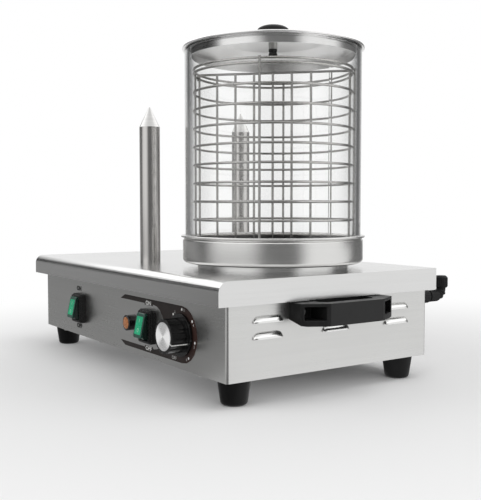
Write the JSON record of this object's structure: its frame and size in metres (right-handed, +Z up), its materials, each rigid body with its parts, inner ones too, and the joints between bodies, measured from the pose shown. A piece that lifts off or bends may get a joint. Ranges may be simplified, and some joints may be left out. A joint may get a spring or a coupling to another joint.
{
  "type": "hot dog steamer",
  "caption": "Counter-top steamer: low steel cabinet with heated bread spikes, and a glass steam column holding a lift-out wire basket under a lid.",
  "frame": {"origin": "bottom centre of the bounding box, on the table under the feet", "axes": "+X to the right along the front, +Y to the rear, +Z up"},
  "size_m": [0.55, 0.3574, 0.41],
  "materials": {
    "cover_steel": "polished",
    "cabinet_steel": "brushed",
    "hidden_steel": "satin",
    "screw_steel": "satin",
    "foot_rubber": "matt",
    "black_plastic": "matt",
    "spike_aluminium": "turned",
    "heater_steel": "satin",
    "basin_steel": "spun",
    "brass": "satin",
    "spun_steel": "spun",
    "seal_rubber": "matt",
    "clear_glass": "clear",
    "wire_steel": "satin",
    "boot_rubber": "satin",
    "green_plastic": "glossy",
    "gloss_black": "glossy",
    "orange_plastic": "glossy",
    "dial_aluminium": "spun",
    "white_plastic": "satin",
    "ceramic": "matt",
    "label_film": "satin"
  },
  "bodies": {
    "cabinet": {"top_cover": "cover_steel", "cabinet_shell": "cabinet_steel", "rear_panel": "cabinet_steel", "base_plate": "hidden_steel", "base_screws": "screw_steel", "rear_screws": "screw_steel", "front_left_foot": "foot_rubber", "front_right_foot": "foot_rubber", "rear_left_foot": "foot_rubber", "rear_right_foot": "foot_rubber", "foot_screws": "screw_steel", "right_handle": "black_plastic", "left_handle": "black_plastic", "handle_screws": "screw_steel", "front_spike": "spike_aluminium", "rear_spike": "spike_aluminium", "spike_nuts": "screw_steel", "spike_heaters": "heater_steel", "water_basin": "basin_steel", "basin_heater": "heater_steel", "heater_nuts": "brass", "seat_ring": "spun_steel", "seat_seal": "seal_rubber", "left_switch_frame": "boot_rubber", "right_switch_frame": "boot_rubber", "switch_terminals": "brass", "lamp_body": "gloss_black", "lamp_lens": "orange_plastic", "thermostat_body": "ceramic", "thermostat_nut": "screw_steel", "control_label": "label_film", "drain_pipe": "screw_steel", "drain_nut": "screw_steel", "drain_body": "black_plastic", "cable_gland": "black_plastic", "gland_nut": "black_plastic", "terminal_block": "ceramic"},
    "glass": {"glass_tube": "clear_glass"},
    "basket": {"basket_rings": "wire_steel", "basket_uprights": "wire_steel", "basket_divider": "wire_steel", "basket_floor": "wire_steel"},
    "lid": {"lid_pan": "spun_steel", "lid_knob": "black_plastic", "lid_stud": "screw_steel", "lid_nut": "black_plastic"},
    "spike_switch": {"left_switch_rocker": "green_plastic"},
    "steam_switch": {"right_switch_rocker": "green_plastic"},
    "dial": {"dial_knob": "gloss_black", "dial_cap": "dial_aluminium", "dial_pointer": "white_plastic", "thermostat_shaft": "screw_steel"},
    "drain_bend": {"drain_elbow": "black_plastic"},
    "drain_closer": {"drain_cap": "black_plastic"}
  },
  "joints": [
    {"name": "glass_lift", "type": "slide", "parent": "cabinet", "child": "glass", "axis": [0, 0, 1], "range_m": [0, 0.06]},
    {"name": "basket_lift", "type": "slide", "parent": "glass", "child": "basket", "axis": [0, 0, 1], "range_m": [0, 0.24]},
    {"name": "lid_lift", "type": "slide", "parent": "basket", "child": "lid", "axis": [0, 0, 1], "range_m": [0, 0.06]},
    {"name": "spike_switch_rock", "type": "hinge", "parent": "cabinet", "child": "spike_switch", "pos_m": [-0.1135, -0.1603, 0.0644], "axis": [1, 0, 0], "range_deg": [0, 24]},
    {"name": "steam_switch_rock", "type": "hinge", "parent": "cabinet", "child": "steam_switch", "pos_m": [0.082, -0.1603, 0.0644], "axis": [1, 0, 0], "range_deg": [0, 24]},
    {"name": "thermostat_turn", "type": "hinge", "parent": "cabinet", "child": "dial", "pos_m": [0.1545, -0.1693, 0.0644], "axis": [0, 1, 0], "range_deg": [-258, 36]},
    {"name": "drain_swing", "type": "hinge", "parent": "cabinet", "child": "drain_bend", "pos_m": [0.22, 0.1497, 0.092], "axis": [0, 1, 0], "range_deg": [0, 180]},
    {"name": "drain_cap_turn", "type": "hinge", "parent": "drain_bend", "child": "drain_closer", "pos_m": [0.22, 0.1707, 0.105], "axis": [0, 0, 1], "range_deg": [0, 270]}
  ]
}
